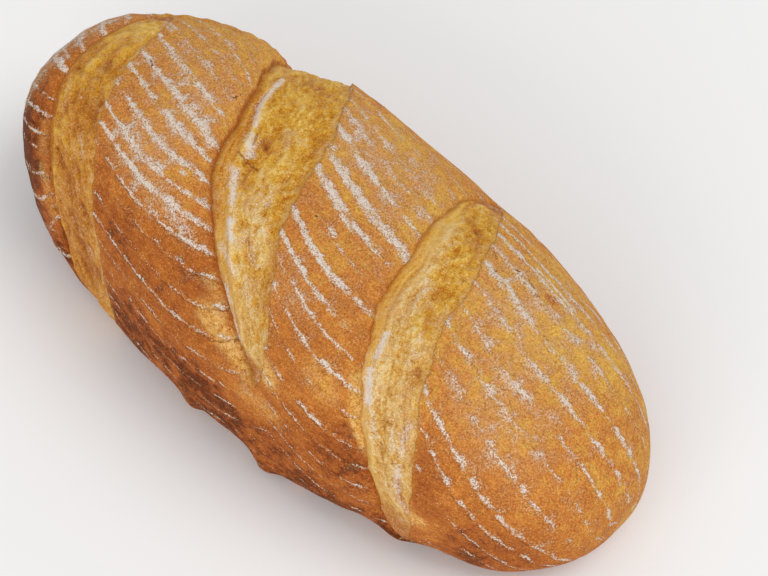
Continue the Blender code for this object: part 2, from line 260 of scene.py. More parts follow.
def slash_lips(slash, angle):
    """Where a slash runs at each angle: x of its middle, half its width, and how wide it gapes."""
    s = (0.5 - angle / math.pi) * HALF_GIRTH * oval(slash["middle"], PLAN_POWERS)
    bent = LEAN_LIMIT * np.tanh(s / LEAN_LIMIT)
    curl = np.where(s < 0, slash["near_curl"], slash["far_curl"])
    middle = slash["middle"] - slash["lean"] * bent + curl * bent ** 2
    offset = s - slash["widest"]
    reach = np.where(offset > 0, slash["far"], slash["near"])
    opening = np.clip(1 - (offset / reach) ** 2, 0, 1) ** LENS_POWER
    seed = SLASH_SEED * slash["middle"]
    rolled = stray(s, seed)
    crisp = stray(s, seed + 2)
    middle = middle + (rolled + crisp) / 2 * np.sqrt(opening)
    half = slash["half"] * opening + (crisp - rolled) / 2 * np.sqrt(opening)
    return middle, np.maximum(half, 0), opening


def slash_relief(slash, x, angle):
    """Height of the skin over the plain loaf along one slash, and where the dough is torn open."""
    middle, half, opening = slash_lips(slash, angle)
    depth = slash["depth"] * np.sqrt(opening)
    lift = slash["lift"] * np.sqrt(opening)
    across = (x - middle + half) / np.maximum(2 * half, LEAST_LENGTH)
    roll = np.clip(1 - (middle - half - x) / SHOULDER, 0, 1)
    shoulder = -depth * (1 - np.sqrt(1 - roll ** 2))
    risen = np.clip(across, 0, 1)
    crumb = -depth * (1 - risen) ** TORN_RISE + (lift - slash["lip"] * np.sqrt(opening)) * risen
    beyond = np.maximum(x - middle - half, 0) / LIFT_REACH
    torn = (across > 0) & (across < 1) & (opening > 0)
    relief = np.where(across <= 0, shoulder, np.where(torn, crumb, lift * np.exp(-beyond ** 2)))
    waist = np.exp(-((x - middle) / WAIST_REACH) ** 2) * (1 - opening)
    return relief - WAIST_DEPTH * waist, torn


def noise_at(points, size, seed=0.0):
    """Smooth noise from -1 to 1 with features of a given size."""
    shift = Vector([share * seed for share in NOISE_DRIFT])
    flat = [noise.noise(Vector(point) / size + shift) for point in points.reshape(-1, 3)]
    return np.array(flat).reshape(points.shape[:-1])


def foot_spread(points):
    """How far the dough spreads sideways along its foot."""
    x, y, z = points[..., 0], points[..., 1], points[..., 2]
    spread = np.zeros(x.shape)
    for swell_x, side, swell, size in FOOT_SWELLS:
        shape = np.exp(-((x / MILLIMETRE - swell_x) / size) ** 2 - (z / FOOT_SWELL_HEIGHT) ** 2)
        spread += MILLIMETRE * swell * shape * (np.sign(y) == side)
    return spread


def skin_place(x, angle, height):
    """Points at a height over the plain skin, faded out at the poles and kept above the floor."""
    plain = plain_skin(x, angle)
    fade = 1 - np.abs(2 * x / LENGTH) ** POLE_FADE
    points = plain + skin_normals(x, angle) * (height * fade)[..., None]
    points[..., 1] += np.sign(plain[..., 1]) * foot_spread(plain)
    points[..., 2] = np.maximum(points[..., 2], 0)
    return points


def arc_from_crown(x, angle):
    """True distance along the plain skin from the crown, positive towards +Y."""
    total = np.zeros(np.broadcast(x, angle).shape)
    start = plain_skin(x, QUARTER + 0 * angle)
    for share in np.linspace(0, 1, ARC_STEPS)[1:]:
        end = plain_skin(x, QUARTER + (angle - QUARTER) * share)
        total += np.linalg.norm(end - start, axis=-1)
        start = end
    return np.sign(QUARTER - angle) * total


def ridge_field(x, angle, arc, points):
    """For each place on the skin, how many ridges of its lobe lie further to +Y, and how floury the
    nearest ridge is there."""
    lips = [slash_lips(slash, angle) for slash in SLASHES]
    edges = [(-LENGTH / 2, -LENGTH / 2)]
    edges += [(middle - half, middle + half) for middle, half, _ in lips] + [(LENGTH / 2, LENGTH / 2)]
    middles = [-LENGTH] + [middle for middle, _, _ in lips] + [LENGTH]
    number = np.zeros(x.shape)
    flour = np.zeros(x.shape)
    swing, length = RIDGE_WANDER
    wander = swing * noise_at(points, length, WANDER_SEED)
    for index, lobe in enumerate(LOBES):
        start, end = edges[index][1], edges[index + 1][0]
        share = np.clip((x - start) / np.maximum(end - start, LEAST_LENGTH), 0, 1)
        fallen = arc + wander + lobe["fall"] * share - lobe["rise"] * share ** 2
        home = fallen / (1 - lobe["fall_gain"] * share + lobe["rise_gain"] * share ** 2)
        starts = [MILLIMETRE * ridge[0] for ridge in lobe["ridges"]]
        starts = [starts[0] + GROOVE_PITCH * k for k in range(UNSEEN_RIDGES, 0, -1)] + starts
        starts += [starts[-1] - GROOVE_PITCH * k for k in range(1, UNSEEN_RIDGES + 1)]
        ridges_passed = np.interp(-home, -np.array(starts), np.arange(len(starts)))
        unseen = [(UNSEEN_FLOUR,) * 3] * UNSEEN_RIDGES
        strengths = np.array(unseen + [ridge[1:] for ridge in lobe["ridges"]] + unseen)
        nearest = strengths[np.round(ridges_passed).astype(int)]
        first_half = nearest[..., 0] + (nearest[..., 1] - nearest[..., 0]) * np.minimum(2 * share, 1)
        floury = first_half + (nearest[..., 2] - nearest[..., 1]) * np.maximum(2 * share - 1, 0)
        here = (x > middles[index]) & (x <= middles[index + 1])
        number = np.where(here, ridges_passed, number)
        flour = np.where(here, floury, flour)
    return number, flour


def blots(marks, x, arc):
    """How strongly the blots of a list cover each place."""
    total = np.zeros(x.shape)
    for *place, amount in marks:
        mark_x, mark_arc, along, across = MILLIMETRE * np.array(place)
        total += amount * np.exp(-((x - mark_x) / along) ** 2 - ((arc - mark_arc) / across) ** 2)
    return total


def at_distances(pairs, distance):
    """A value listed at some distances in millimetres, straight in between."""
    return np.interp(distance / MILLIMETRE, *zip(*pairs))


def strokes(marks, x, arc):
    """How strongly the strokes of a list cover each place, the strongest counting."""
    total = np.zeros(x.shape)
    for *place, amount in marks:
        start_x, start_arc, end_x, end_arc, half_width = MILLIMETRE * np.array(place)
        run_x, run_arc = end_x - start_x, end_arc - start_arc
        share = ((x - start_x) * run_x + (arc - start_arc) * run_arc) / (run_x ** 2 + run_arc ** 2)
        share = np.clip(share, 0, 1)
        off = np.hypot(x - start_x - share * run_x, arc - start_arc - share * run_arc)
        total = np.maximum(total, amount * np.exp(-(off / half_width) ** 2))
    return total


def ring_stations(angle):
    """x of the lines between which the rings are laid, at each angle, from pole to pole."""
    stations = [np.full_like(angle, -LENGTH / 2)]
    for slash in SLASHES:
        middle, half, _ = slash_lips(slash, angle)
        half = np.maximum(half, LEAST_HALF)
        for lip in (middle - half, middle + half):
            stations += [lip - LIP_GAP, lip + LIP_GAP]
    stations.append(np.full_like(angle, LENGTH / 2))
    return stations


def ring_places():
    """For each ring between the poles, the stretch that it is in and its share of that stretch."""
    first, last = CAP_RINGS
    places = [(0, (1 - math.cos(math.pi * k / first)) / 2) for k in range(1, first)]
    for number in range(len(SLASHES)):
        deep_lip = SLASH_STATIONS * number + 1
        places += [(deep_lip, 0.0)]
        places += [(deep_lip + 1, k / TORN_RINGS) for k in range(TORN_RINGS)]
        places += [(deep_lip + 2, 0.0)]
        if number < len(SLASHES) - 1:
            rings = LOBE_RINGS[number]
            places += [(deep_lip + 3, k / rings) for k in range(rings)]
    final = SLASH_STATIONS * len(SLASHES)
    places += [(final, (k / last + math.sin(QUARTER * k / last)) / 2) for k in range(last)]
    return places


def crust_grid():
    """x and angle of every point of the crust above the underside."""
    places = ring_places()
    shares = np.linspace(0, 1, TOP_COLUMNS)
    x = np.zeros((len(places), TOP_COLUMNS))
    for _ in range(SETTLING_ROUNDS):
        foot = foot_angle(x)
        angle = -foot + (math.pi + 2 * foot) * shares
        for ring, (stretch, share) in enumerate(places):
            stations = ring_stations(angle[ring])
            start, end = stations[stretch], stations[stretch + 1]
            x[ring] = start + (end - start) * share
    return x, angle


def with_base(top):
    """Carries a field of the skin on across the underside, straight from foot to foot."""
    shares = np.arange(1, BASE_COLUMNS) / BASE_COLUMNS
    shares = shares.reshape((1, -1) + (1,) * (top.ndim - 2))
    return np.concatenate([top, top[:, -1:] + (top[:, :1] - top[:, -1:]) * shares], axis=1)


def new_object(name, data):
    """An object at the origin of the scene."""
    item = bpy.data.objects.new(name, data)
    bpy.context.scene.collection.objects.link(item)
    return item


def mesh_piece(name, points, faces, attributes):
    """A smooth mesh object. Each of its attributes has one or three values for each point."""
    mesh = bpy.data.meshes.new(name)
    mesh.from_pydata([tuple(point) for point in points], [], faces)
    for label, fields in attributes.items():
        kind, slot = ("FLOAT", "value") if len(fields) == 1 else ("FLOAT_VECTOR", "vector")
        layer = mesh.attributes.new(label, kind, "POINT")
        layer.data.foreach_set(slot, np.stack(fields, axis=1).astype("f").ravel())
    mesh.validate()
    mesh.shade_smooth()
    return new_object(name, mesh)


x, angle = crust_grid()
plain = plain_skin(x, angle)
arc = arc_from_crown(x, angle)
ridges_passed, ridge_flour = ridge_field(x, angle, arc, plain)
ridge_turn = 2 * math.pi * ridges_passed
height = sum(swell * noise_at(plain, size) for swell, size in LUMPS)
bare = np.ones(x.shape)
rolled_rim = np.zeros(x.shape)
crisp_rim = np.zeros(x.shape)
for slash in SLASHES:
    relief, torn = slash_relief(slash, x, angle)
    height += (relief - TORN_SINK * torn) * np.clip(plain[..., 2] / BELLY_HEIGHT, 0, 1)
    bare[torn] = 0
    middle, half, opening = slash_lips(slash, angle)
    behind = np.maximum(middle - half - x, 0)
    ahead = np.maximum(x - middle - half, 0)
    rolled_rim += slash["toasted"] * np.exp(-behind / ROLLED_RIM) * np.sqrt(opening) * (x < middle)
    crisp_rim += np.exp(-ahead / CRISP_RIM) * np.sqrt(opening) * (x > middle)
on_ridge = 0.5 + 0.5 * np.cos(ridge_turn)
height += RIDGE_HEIGHT * on_ridge ** RIDGE_SHARPNESS * bare * np.clip(plain[..., 2] / HEIGHT, 0, 1)
thick_flour = strokes(FLOUR_STROKES, x, arc)
height += CAKE_HEIGHT * np.minimum(thick_flour, 1) * bare
tear = strokes(TEARS, x, arc)
height -= TEAR_DEPTH * tear
skin = skin_place(x, angle, height)
on_floor = keel_drop(x) > BELLY_HEIGHT
for edge in (0, -1):
    skin[:, edge, 2] = np.where(on_floor[:, edge], 0, skin[:, edge, 2])

dust = blots(DUSTED, x, arc)
# The crust's browning, with painted shade added at the foot and in the tears
browning = at_distances(BROWNING_AND_FOOT_SHADE, arc) + blots(BAKED, x, arc) + tear
stretched = strokes(STRETCHED, x, arc)
loose = np.maximum(ridge_flour * (on_ridge > 1 - LOOSE_REACH), thick_flour) * bare
loose = (loose + LOOSE_DUST * dust) * np.clip(plain[..., 2] / BELLY_HEIGHT - FLOOR_CLEAR, 0, 1)

skin = with_base(skin)
rings, columns = skin.shape[:2]
poles = [(-LENGTH / 2, 0, BELLY_HEIGHT), (LENGTH / 2, 0, BELLY_HEIGHT)]
skin_points = np.concatenate([skin.reshape(-1, 3), poles])


def crust_values(field, base_value=0.0):
    """A field of the grid as one value for each point of the mesh, poles last. On the floor the
    underside has a value of its own."""
    full = with_base(field)
    full[on_floor[:, 0], TOP_COLUMNS:] = base_value
    ends = [full[0, :TOP_COLUMNS].mean(), full[-1, :TOP_COLUMNS].mean()]
    return np.concatenate([full.ravel(), ends])


faces = []
pole_low, pole_high = rings * columns, rings * columns + 1
for column in range(columns):
    follower = (column + 1) % columns
    for ring in range(rings - 1):
        here, there = ring * columns, (ring + 1) * columns
        faces.append((here + column, there + column, there + follower, here + follower))
    faces.append((pole_low, column, follower))
    faces.append((pole_high, (rings - 1) * columns + follower, (rings - 1) * columns + column))
crust = mesh_piece("crust", skin_points, faces, {
    "ridge": [crust_values(field) for field in (np.cos(ridge_turn), np.sin(ridge_turn), ridge_flour)],
    "flour": [crust_values(dust, UNDERSIDE_FLOUR), crust_values(thick_flour), crust_values(loose)],
    "edges": [crust_values(rolled_rim), crust_values(crisp_rim), crust_values(0 * x, 1.0)],
    "browning": [crust_values(browning, UNDERSIDE_BROWNING)],
    "stretched": [crust_values(stretched)],
})


def tone(code):
    """A colour given as six hexadecimal digits, as scene-linear red, green, blue and alpha."""
    parts = [int(code[k:k + 2], 16) / 255 for k in (0, 2, 4)]
    return tuple(p / 12.92 if p <= 0.04045 else ((p + 0.055) / 1.055) ** 2.4 for p in parts) + (1.0,)


class Link:
    """One output of a node. Arithmetic on it adds Math nodes."""

    def __init__(self, tree, socket=None):
        self.tree = tree
        self.socket = socket

    def node(self, kind, settings=None, inputs=None, output=0):
        """Adds a node: first its settings, then the values or links of its sockets."""
        node = self.tree.nodes.new(kind)
        for name, value in (settings or {}).items():
            if name == "stops":
                points = node.color_ramp.elements
                while len(points) < len(value):
                    points.new(1.0)
                for point, (place, colour) in zip(points, value):
                    point.position = place
                    point.color = colour
            else:
                setattr(node, name, value)
        for name, value in (inputs or {}).items():
            if isinstance(value, Link):
                self.tree.links.new(value.socket, node.inputs[name])
            else:
                node.inputs[name].default_value = value
        return Link(self.tree, node.outputs[output] if len(node.outputs) else None)

    def field(self, name, output="Vector"):
        """Values that the mesh carries on its points."""
        return self.node("ShaderNodeAttribute", {"attribute_name": name}, output=output)

    def math(self, operation, *values):
        return self.node("ShaderNodeMath", {"operation": operation}, dict(enumerate(values)))

    def __add__(self, other):
        return self.math("ADD", self, other)

    __radd__ = __add__

    def __sub__(self, other):
        return self.math("SUBTRACT", self, other)

    def __rsub__(self, other):
        return self.math("SUBTRACT", other, self)

    def __mul__(self, other):
        return self.math("MULTIPLY", self, other)

    __rmul__ = __mul__

    def __abs__(self):
        return self.math("ABSOLUTE", self)

    def between(self, low, high):
        """0 below low, 1 above high, and smooth in between."""
        return self.node("ShaderNodeMapRange", {"interpolation_type": "SMOOTHSTEP"},
                         {"Value": self, "From Min": low, "From Max": high})

    def blend(self, low, high):
        """One colour where this is 0 and another where it is 1."""
        low, high = [tone(colour) if isinstance(colour, str) else colour for colour in (low, high)]
        return self.node("ShaderNodeMix", {"data_type": "RGBA"}, {0: self, 6: low, 7: high}, 2)

    def coated(self, *coats):
        """This colour under some coats. Each is given by how much it covers and its colour."""
        colour = self
        for share, coat in coats:
            colour = share.blend(colour, coat)
        return colour

    def ramp(self, *stops):
        """A colour for each value, listed at some of them."""
        stops = [(place, tone(code)) for place, code in stops]
        return self.node("ShaderNodeValToRGB", {"stops": stops}, {0: self})

    def scaled(self, factors):
        """A vector stretched along each axis."""
        return self.node("ShaderNodeVectorMath", {"operation": "MULTIPLY"}, {0: self, 1: factors})

    def moved(self, shift):
        return self.node("ShaderNodeVectorMath", {"operation": "ADD"}, {0: self, 1: shift})

    def axis(self, number):
        return self.node("ShaderNodeSeparateXYZ", None, {0: self}, number)

    def grain(self, scale, detail=2.0, roughness=0.5):
        """Noise from about -0.5 to 0.5 at this place, with a number of features for each metre."""
        raw = self.node("ShaderNodeTexNoise", None,
                        {"Vector": self, "Scale": scale, "Detail": detail, "Roughness": roughness})
        return (raw - 0.5) * 2.0

    def grits(self, scale):
        """A random value from -0.5 to 0.5 for each grain, with a number of grains for each metre."""
        cells = self.node("ShaderNodeTexVoronoi", {"feature": "F1"},
                          {"Vector": self, "Scale": scale}, "Color")
        return cells.axis(0) - 0.5

    def cracks(self, scale):
        """Distance to the nearest edge of an irregular net, in shares of one mesh of the net."""
        return self.node("ShaderNodeTexVoronoi", {"feature": "DISTANCE_TO_EDGE"},
                         {"Vector": self, "Scale": scale}, "Distance")

    def surface(self, colour, roughness, specular, height=None):
        """Ends a material in its surface shader. Its finest relief is a height in metres."""
        inputs = {"Base Color": colour, "Roughness": roughness, "Specular IOR Level": specular}
        if height is not None:
            relief = {"Height": height, "Distance": 1.0, "Strength": 0.8}
            inputs["Normal"] = self.node("ShaderNodeBump", None, relief, "Normal")
        shader = self.node("ShaderNodeBsdfPrincipled", None, inputs)
        self.node("ShaderNodeOutputMaterial", None, {"Surface": shader})


def new_finish(name):
    """An empty material, and a link to start its nodes from."""
    material = bpy.data.materials.new(name)
    material.use_nodes = True
    material.node_tree.nodes.clear()
    return material, Link(material.node_tree)


def crust_finish():
    """Browned crust: golden on the crown, toasted down the sides, finely mottled and specked, with
    granular flour caught on the ridges and a thin haze of it between them. Painted shade darkens a
    line just below each ridge on the lower sides, and the foot."""
    material, start = new_finish("browned crust")
    place = start.node("ShaderNodeTexCoord", output="Object")
    ridge = start.field("ridge")
    floury = start.field("flour")
    edges = start.field("edges")
    # Browning of the crust, with painted shade at the foot and in the tears
    baked_and_shade = start.field("browning", "Fac")
    stretched = start.field("stretched", "Fac")
    strength = ridge.axis(2)

    coarse = place.grain(48, 3.0)
    patchy = place.grain(150, 3.0, 0.6)
    middling = place.grain(400, 3.0, 0.6)
    fine = place.grain(1300, 2.0, 0.6)
    grit = place.grits(2700)
    specks = place.moved((0.3, 0.1, 0.2)).grits(1600)
    dashes = place.scaled((0.42, 1.0, 1.0)).grain(210, 2.0)
    streaks = place.scaled((0.3, 1.0, 1.0)).grain(560, 2.0)

    millimetres = 1000 * GROOVE_PITCH / (2 * math.pi)
    below_ridge = start.math("ARCTAN2", ridge.axis(1), ridge.axis(0)) * millimetres
    below_ridge = below_ridge + patchy * 2.1 + middling * 1.6
    off_ridge = abs(below_ridge)
    width = strength * strength * 2.2 + 0.22
    stripe = (width + 1.20 - off_ridge + fine * 0.8).between(0.0, 2.5)
    stripe = stripe * (dashes * 1.1 + patchy * 0.9 + 0.96)
    unbroken = (strength + dashes * 1.5 + coarse * 0.5 + 0.10).between(-0.12, 0.60)
    between_ridges = (0.75 - abs(off_ridge - 500 * GROOVE_PITCH)).between(0.0, 0.8)
    faint = between_ridges * (dashes * 1.5 + streaks * 0.6 + baked_and_shade * 0.6).between(0.36, 0.68)
    stripe = start.math("MAXIMUM", stripe * unbroken, faint * 0.25) * strength.between(0.0, 0.12)
    beside = (4.4 - off_ridge).between(0.0, 4.0) * strength
    dusting = floury.axis(0) * (patchy * 1.8 + 1.0)
    haze = beside * 0.36 + dusting + patchy * 0.50 + dashes * 0.35 + 0.22 - baked_and_shade * 0.34
    cover = start.math("MAXIMUM", stripe, haze)
    cover = start.math("MAXIMUM", cover, floury.axis(1) + patchy * 0.4 + middling * 0.4 - 0.05)
    cover = cover * (1 - edges.axis(0) * 0.75)
    flour = (cover + fine * 0.44 + grit * 0.56 + specks * 0.38).between(0.24, 1.06)

    tint = baked_and_shade + coarse * 0.28 + patchy * 0.42 + middling * 0.34 + streaks * 0.22
    crust_colour = tint.ramp((0.0, "D6A94E"), (0.20, "CB9343"), (0.40, "C07A36"), (0.60, "AF682A"),
                             (0.80, "9D5421"), (1.0, "642E0A"))
    pale = (patchy * 0.4 + middling * 0.5 + fine * 0.3 + 0.5).ramp(
        (0.0, "C2853A"), (0.45, "CF9C50"), (1.0, "DCBA80"))
    pulled = (stretched + patchy * 0.22 + middling * 0.16).between(0.05, 0.85)
    golden_lip = (edges.axis(1) + patchy * 0.4).between(0.25, 1.0)
    veil = (floury.axis(0) * 1.7 + patchy * 0.6 + coarse * 0.4 + 0.12 - baked_and_shade * 0.3).between(0.0, 1.0)
    crust_colour = crust_colour.coated((pulled * 0.95, pale), (golden_lip * 0.45, "C98F36"),
                                       (veil * 0.42, "D9B07D"))
    light = (fine * 0.60 + grit * 0.40 + specks * 0.34 + middling * 0.50 + 0.5).blend(
        (0.59, 0.45, 0.34, 1), (1.43, 1.48, 1.56, 1))
    crust_colour = start.node("ShaderNodeMix", {"data_type": "RGBA", "blend_type": "MULTIPLY"},
                              {0: 1.0, 6: crust_colour, 7: light}, 2)
    flecks = (fine * 0.8 + middling * 0.9 - grit * 0.4).between(0.28, 0.55)
    toasted_rim = (edges.axis(0) * 1.1 + streaks * 0.4).between(0.3, 1.0)
    # Painted shade: a dark line just below each ridge on the lower sides, where the ridge shades the crust
    shaded_crease = (0.42 - abs(below_ridge - width - 0.55)).between(-0.1, 0.4)
    shaded_crease = shaded_crease * baked_and_shade.between(0.4, 0.7) * unbroken * strength.between(0.1, 0.4)
    hearth = (coarse + middling).between(-0.3, 0.3).blend("7C4A2A", "B58A5E")
    under = edges.axis(2) * (1 - place.axis(2).between(0.0005, 0.0040))
    crust_colour = crust_colour.coated((flecks * 0.32, "7E421C"), (toasted_rim * 0.7, "9C4A18"),
                                       (shaded_crease * 0.6, "66300F"), (under, hearth))

    thick = cover.between(0.30, 0.85)
    clean = (grit + fine * 0.8 + middling * 0.6 + 0.20).between(-0.42, 0.42)
    flour_colour = clean.blend("B68A60", thick.blend("DBAA72", "DED6CC"))

    net = place.moved((0.013, 0.002, 0.0)).cracks(62) + middling * 0.06 + fine * 0.02
    crack = (1 - net.between(0.004, 0.030)) * (coarse - patchy * 0.5).between(0.12, 0.25)
    crack = crack * floury.axis(1).between(0.15, 0.45)
    colour = crust_colour.coated((flour * 0.93, flour_colour), (crack * 0.8, "6A3617"))

    height = (flour * 0.00018 + fine * 0.00006 + specks * 0.00006 + middling * 0.00022
              + patchy * 0.00025 - shaded_crease * 0.00024 - crack * 0.0005)
    start.surface(colour, roughness=flour * 0.2 + 0.72, specular=0.10, height=height)
    return material


crust.data.materials.append(crust_finish())
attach(crust, "root")

# ---------------------------------------------------------------------------------------------
# Torn dough. Where each slash opened in the oven, the dough inside stretched and baked to a
# golden, wrinkled skin. It rises from the rolled lobe on -X, over a smooth strip and a low ridge,
# to just under the crisp lip on +X. Each is a closed sheet with its edges tucked under the crust.

TORN_THICKNESS = 0.0030
TUCK = 0.0012  # how far the sheet reaches under the crust
TUCK_SINK = 0.0012
SHEET_GAP = 0.0002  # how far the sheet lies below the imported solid's torn crumb
TORN_ROWS = 340
TORN_COLUMNS = 88
RUN_STEPS = 4001  # places at which a slash is tried for being open
LEAST_OPENING = 0.04
EDGE_REACH = 0.004  # over which the crags fade in from a lip
# Height, size and seed of the crags
CRAGS = ((0.0009, 0.0110, 2.4), (0.0007, 0.0046, 1.8), (0.00055, 0.0022, 1.3), (0.00030, 0.0012, 0.7))
CRAG_STRETCH = 0.75  # crags are this much shorter across the slash than along it
CRAG_SEED = 90
FOLD_ORDER = 1  # the place in that list of the crags that are folded into sharp crests
FOLD_LEVEL = 0.35
FOLD_HEIGHT = 1.7
LIP_CRAGS = 0.2  # share of the crags that is left at a lip
STRIP_SMOOTHNESS = 0.75  # share of the crags that the smooth strip has lost
DEEPEST_CRAG = 0.0017
STRIP_EDGE = 0.0006
STRIP_HOLLOW = 0.0003
STRIP_RIDGE_REACH = 0.0019
RIDGE_LUMPS = (0.75, 0.9, 0.011)  # mean height of the ridge beside the strip, swing and length
RIDGE_LIMITS = (0.25, 1.3)
RIDGE_SEED = 50
PIT_DEPTH = 0.0009
CREASE_DEPTH = 0.0008

# Each sheet: how high its crags are and how much they run along the slash, how far the slash gapes
# where its end turns to crust, and how high the ridge beside the smooth strip stands. Listed with
# the distance along the slash in millimetres: how wide the strip is, how creamy and how brown the
# dough. Then strokes, as for the crust, of flour, of cream and of brown, and creases and pits.
# The creases and pits are sunk into the dough and painted dark as painted shade.
TORN_LOOKS = (
    dict(name="torn_1", rough=1.5, fibrous=0.45, tip=0.6, ridge=0.0003,
         strip=((-105, 0.06), (-20, 0.12), (20, 0.16)),
         cream=((-100, -0.10), (-60, 0.0), (-20, 0.05), (20, 0.12)),
         brown=((-105, 1.15), (-60, 1.05), (-35, 0.78), (0, 0.40), (30, 0.24)),
         flour=((-124, 33, -118, 28, 2, 0.4), (-101, -45, -96, -52, 1.6, 0.35),
                (-79, -95, -76, -101, 1.8, 0.4)),
         pale=((-108, -22, -102, -34, 2.4, 0.8), (-103, -48, -96, -60, 2.2, 0.8),
               (-119, -8, -115, -18, 2.2, 0.7), (-93, -66, -90, -74, 2.4, 0.6),
               (-127, -26, -122, -36, 1.8, 0.5)),
         browned=((-134.5, 2, -127, -38, 1.6, 0.8), (-117, -32, -108, -44, 4, 0.5),
                  (-96, -40, -88, -56, 4, 0.5), (-95, -70, -86, -90, 6, 0.5), (-119, 0, -117, -6, 2, 0.5)),
         creases=((-118, -6, -116, -11, 0.7, 0.5), (-109, -42, -106, -47, 0.7, 0.5)),
         pits=((-114.2, -57, -113.6, -57.5, 0.9, 1.0), (-110, -71.2, -109.4, -71.6, 0.9, 0.9),
               (-130.5, -16, -130, -16.4, 0.7, 0.5), (-117, -24, -116.6, -24.3, 0.6, 0.6))),
    dict(name="torn_2", rough=1.0, fibrous=1.0, tip=0.6, ridge=0.0011,
         strip=((-70, 0.15), (-40, 0.30), (-14, 0.27), (18, 0.14), (45, 0.30)),
         cream=((-72, 0.80), (-35, 0.60), (-12, 0.34), (5, 0.12), (50, 0.0)),
         brown=((-73, 0.70), (-62, 0.10), (0, 0.08), (22, 0.10), (50, 0.20)),
         flour=((-56, 40, -53.5, 28, 1.5, 0.9), (-53.5, 28, -50, 18, 1.8, 0.9), (-50, 18, -42.5, 8, 1.7, 0.9),
                (-40, 3, -34.5, -3.5, 2.9, 0.85), (-32.5, -14.5, -29.5, -18.5, 2.9, 0.85),
                (-28, -19.5, -22.8, -26.5, 1.8, 0.9), (-18.5, -32.5, -12.5, -38.5, 2.2, 0.9),
                (-14.5, -43.5, -4.5, -48, 2.1, 0.7), (-4, -56, 0.5, -60.5, 2, 0.85),
                (3, -64, 13.5, -72, 1.7, 0.8), (-12, -13, -10, -18, 2, 0.45), (-6, -25, 1, -31, 2.6, 0.4),
                (-10, -32, 2, -40, 2.6, 0.4), (6, -50, 14, -57, 2.2, 0.4)),
         pale=((-30, 16, -24, 6, 3, 0.35), (-18, 6, -12, -6, 2.6, 0.35), (-20, -10, -8, -30, 5, 0.4)),
         browned=((-47, 48, -30, 44, 3.4, 0.45), (-41, 30, -20, 48, 5, 0.3), (-33.5, 4.2, -29, 2, 2.4, 0.9),
                  (3.5, -21, 19, -51, 3.4, 0.8), (-56, 50, -59, 36, 1.4, 0.8), (-16, 20, -12, 10, 2, 0.4),
                  (-28, -10, -24, -18, 1.8, 0.5)),
         creases=((-38.5, -6.2, -33, -7.4, 0.6, 1.0), (-33, -7.4, -25.5, -7.8, 0.6, 0.9),
                  (-39.5, 6, -36, 0, 0.7, 0.8), (-55, 30, -51, 17, 0.6, 0.6), (-34, -20, -24, -30, 1.2, 0.3)),
         pits=((-32, 3, -31, 2.6, 1.2, 0.8),)),
    dict(name="torn_3", rough=1.0, fibrous=1.0, tip=0.85, ridge=0.0005,
         strip=((-85, 0.10), (-40, 0.16), (-12, 0.26), (45, 0.31)),
         cream=((-110, 0.70), (-85, 0.75), (-45, 0.90), (-20, 0.60), (0, 0.34), (30, 0.10)),
         brown=((-110, 0.50), (-90, 0.10), (-60, 0.02), (20, 0.05), (50, 0.12)),
         flour=((63.5, -27, 66.5, -37, 1.5, 1.0), (68, -43, 74.5, -53.5, 2.4, 1.0),
                (60.5, 2, 63.5, -12, 2, 0.45), (78, -56, 83, -64, 1.8, 0.5), (86, -52, 92, -62, 2.2, 0.4),
                (74, -20, 80, -30, 2.4, 0.35), (93, -49, 95.5, -62, 2.2, 0.5), (96, -66, 99, -79, 2.6, 0.55),
                (100, -82, 104, -85, 2.2, 0.5)),
         pale=((48, 30, 56, 2, 4, 0.5), (57, 0, 64, -20, 5, 0.5), (88, -66, 100, -84, 3, 0.5)),
         browned=((50, 38.5, 60, 33.5, 3.2, 0.7), (70, -9, 75, -16.5, 2.4, 0.8), (58, 50, 70, 40, 3, 0.4),
                  (64, 26, 68, 16, 2.2, 0.5), (83, -30, 96, -56, 2.6, 0.5), (98, -74, 106, -90, 2.4, 0.7)),
         creases=((56, 30, 60, 10, 0.8, 0.35), (73, -33, 86, -60, 0.7, 0.45), (86, -64, 96, -83, 0.7, 0.5)),
         pits=()),
)


